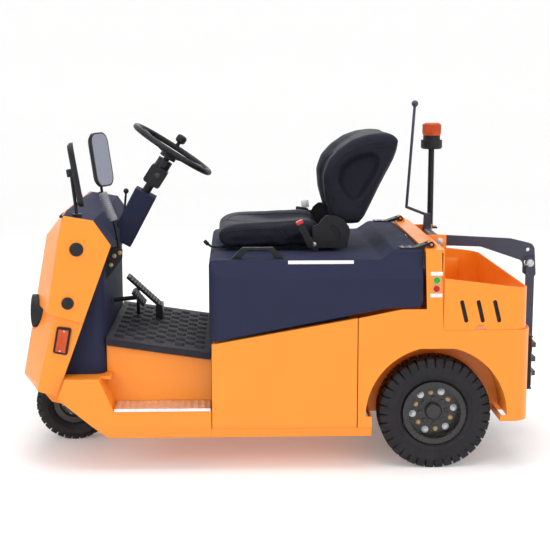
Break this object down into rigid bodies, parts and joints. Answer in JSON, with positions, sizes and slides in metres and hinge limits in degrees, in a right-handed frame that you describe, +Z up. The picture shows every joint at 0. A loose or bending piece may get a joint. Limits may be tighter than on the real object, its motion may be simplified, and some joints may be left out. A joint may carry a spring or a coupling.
{
  "type": "airport baggage tug",
  "caption": "Seated electric baggage tug with one steered front wheel, a tilting battery hood that carries the seat, an open parcel box and a tow hitch with a lever-lifted pin.",
  "frame": {"origin": "centre of the bounding box, on the ground", "axes": "+X forwards, +Y to the driver's left, +Z up"},
  "size_m": [2, 0.99, 1.341],
  "materials": {
    "orange_paint": "gloss paint",
    "cover_plastic": "grained dark blue-grey",
    "black_plastic": "satin black",
    "tyre_rubber": "black rubber",
    "rim_paint": "semi-gloss black paint",
    "dark_steel": "dark grey paint",
    "step_aluminium": "checker plate",
    "mat_rubber": "ribbed black mat",
    "seat_vinyl": "black vinyl",
    "lamp_glass": "clear lens",
    "amber_lens": "amber lens",
    "red_lens": "red lens",
    "mirror_glass": "mirror",
    "battery_case": "grey battery case",
    "button_plastic": "green and red push buttons",
    "arm_paint": "dark blue-grey paint"
  },
  "bodies": {
    "chassis": {"front_frame": "orange_paint", "under_frame": "orange_paint", "entry_panel_left": "orange_paint", "entry_panel_right": "orange_paint", "step_plates": "step_aluminium", "floor_mat": "mat_rubber", "side_panel_left": "orange_paint", "side_panel_right": "orange_paint", "battery": "battery_case", "rear_shell": "orange_paint", "wheel_housings": "orange_paint", "parcel_box": "orange_paint", "box_floor": "orange_paint", "bulkhead": "orange_paint", "drive_axle": "dark_steel", "front_cowl": "orange_paint", "headlamp_lenses": "lamp_glass", "indicator_lenses": "amber_lens", "cowl_fittings": "black_plastic", "dash_panel": "cover_plastic", "leg_shield": "cover_plastic", "column_cover": "cover_plastic", "steering_column": "black_plastic", "hand_levers": "black_plastic", "pedals": "black_plastic", "mirrors": "black_plastic", "mirror_glasses": "mirror_glass", "tow_hitch": "dark_steel", "beacon_pole": "black_plastic", "beacon_lens": "amber_lens", "tail_lamps": "red_lens", "push_buttons": "button_plastic"},
    "hood": {"battery_hood": "cover_plastic", "hood_fittings": "black_plastic", "seat_base": "black_plastic", "seat_cushion": "seat_vinyl", "seat_back": "seat_vinyl", "seat_belt": "black_plastic"},
    "fork": {"steering_fork": "dark_steel"},
    "front_wheel": {"front_tyre": "tyre_rubber", "front_rim": "rim_paint"},
    "rear_wheel_left": {"rear_tyre_left": "tyre_rubber", "rear_rim_left": "rim_paint"},
    "rear_wheel_right": {"rear_tyre_right": "tyre_rubber", "rear_rim_right": "rim_paint"},
    "steering": {"steering_wheel": "black_plastic"},
    "lever": {"release_lever": "arm_paint"},
    "pin": {"tow_pin": "arm_paint"}
  },
  "joints": [
    {"name": "rear_wheel_left_spin", "type": "hinge", "parent": "chassis", "child": "rear_wheel_left", "pos_m": [-0.53, 0.404, 0.2075], "axis": [0, 1, 0], "continuous": true},
    {"name": "rear_wheel_right_spin", "type": "hinge", "parent": "chassis", "child": "rear_wheel_right", "pos_m": [-0.53, -0.404, 0.2075], "axis": [0, 1, 0], "continuous": true},
    {"name": "front_steer", "type": "hinge", "parent": "chassis", "child": "fork", "pos_m": [0.85, 0, 0.4], "axis": [0, 0, 1], "range_deg": [-75, 75]},
    {"name": "front_wheel_spin", "type": "hinge", "parent": "fork", "child": "front_wheel", "pos_m": [0.85, 0, 0.15], "axis": [0, 1, 0], "continuous": true},
    {"name": "steering_wheel_turn", "type": "hinge", "parent": "chassis", "child": "steering", "pos_m": [0.446, 0, 1.157], "axis": [-0.5446, 0, 0.8387], "range_deg": [-600, 600]},
    {"name": "hood_open", "type": "hinge", "parent": "chassis", "child": "hood", "pos_m": [-0.507, 0, 0.836], "axis": [0, -1, 0], "range_deg": [0, 28]},
    {"name": "lever_pull", "type": "hinge", "parent": "chassis", "child": "lever", "pos_m": [-0.603, 0, 0.795], "axis": [0, 1, 0], "range_deg": [0, 22]},
    {"name": "pin_lift", "type": "slide", "parent": "chassis", "child": "pin", "axis": [0, 0, 1], "range_m": [0, 0.146]}
  ],
  "couplings": [
    {"joint": "steering_wheel_turn", "follows": "front_steer", "ratio": 8},
    {"joint": "pin_lift", "follows": "lever_pull", "m_per_rad": 0.3785}
  ]
}
